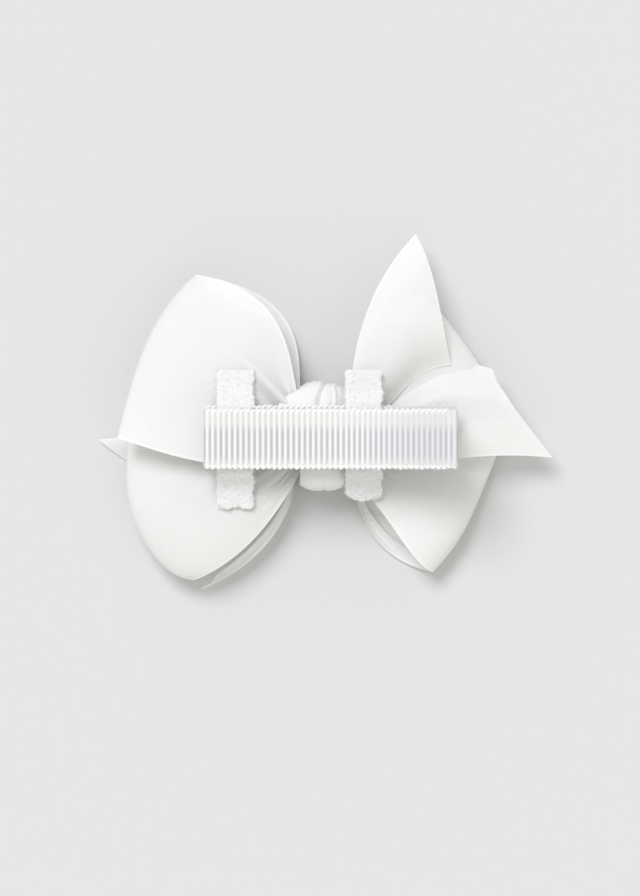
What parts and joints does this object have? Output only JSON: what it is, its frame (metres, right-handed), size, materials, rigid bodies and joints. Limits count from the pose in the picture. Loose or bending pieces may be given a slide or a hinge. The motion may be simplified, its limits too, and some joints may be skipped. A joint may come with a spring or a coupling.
{
  "type": "hair bow",
  "caption": "Layered ribbon hair bow with puffed loops, pointed tails and a wrapped knot, on a ribbon-lined sprung alligator clip.",
  "frame": {"origin": "middle of the bow's outline, at the surface that the bow lies face down on", "axes": "+X along the clip from its nose to its thumb tab, +Y across the bow towards its tallest tail, +Z out of the bow's back"},
  "size_m": [0.0837, 0.0656, 0.0255],
  "materials": {
    "organza": "satin",
    "grosgrain": "satin",
    "felt": "matte",
    "thread": "matte",
    "glue": "gloss",
    "plated_steel": "polished",
    "spring_steel": "satin"
  },
  "bodies": {
    "bow": {"upper_left_loop": "organza", "lower_left_loop": "organza", "upper_right_loop": "organza", "lower_right_loop": "organza", "upper_right_tail": "organza", "right_tail": "organza", "left_tail": "organza", "lower_left_tail": "organza", "gathered_core": "organza", "gathering_thread": "thread", "knot_wrap": "organza", "glue_pad": "glue", "fixed_jaw": "plated_steel", "fixed_jaw_lining": "grosgrain", "hinge_pin": "plated_steel", "leaf_spring": "spring_steel", "left_felt_tab": "felt", "right_felt_tab": "felt"},
    "lever": {"lever_jaw": "plated_steel", "lever_cover": "grosgrain"}
  },
  "joints": [
    {"name": "lever_hinge", "type": "hinge", "parent": "bow", "child": "lever", "pos_m": [0.0124, -0.005, 0.0187], "axis": [0, 1, 0], "range_deg": [0, 32], "stiffness_Nm_per_rad": 0.04, "springref_deg": -85.94, "deforming": ["leaf_spring"]}
  ]
}
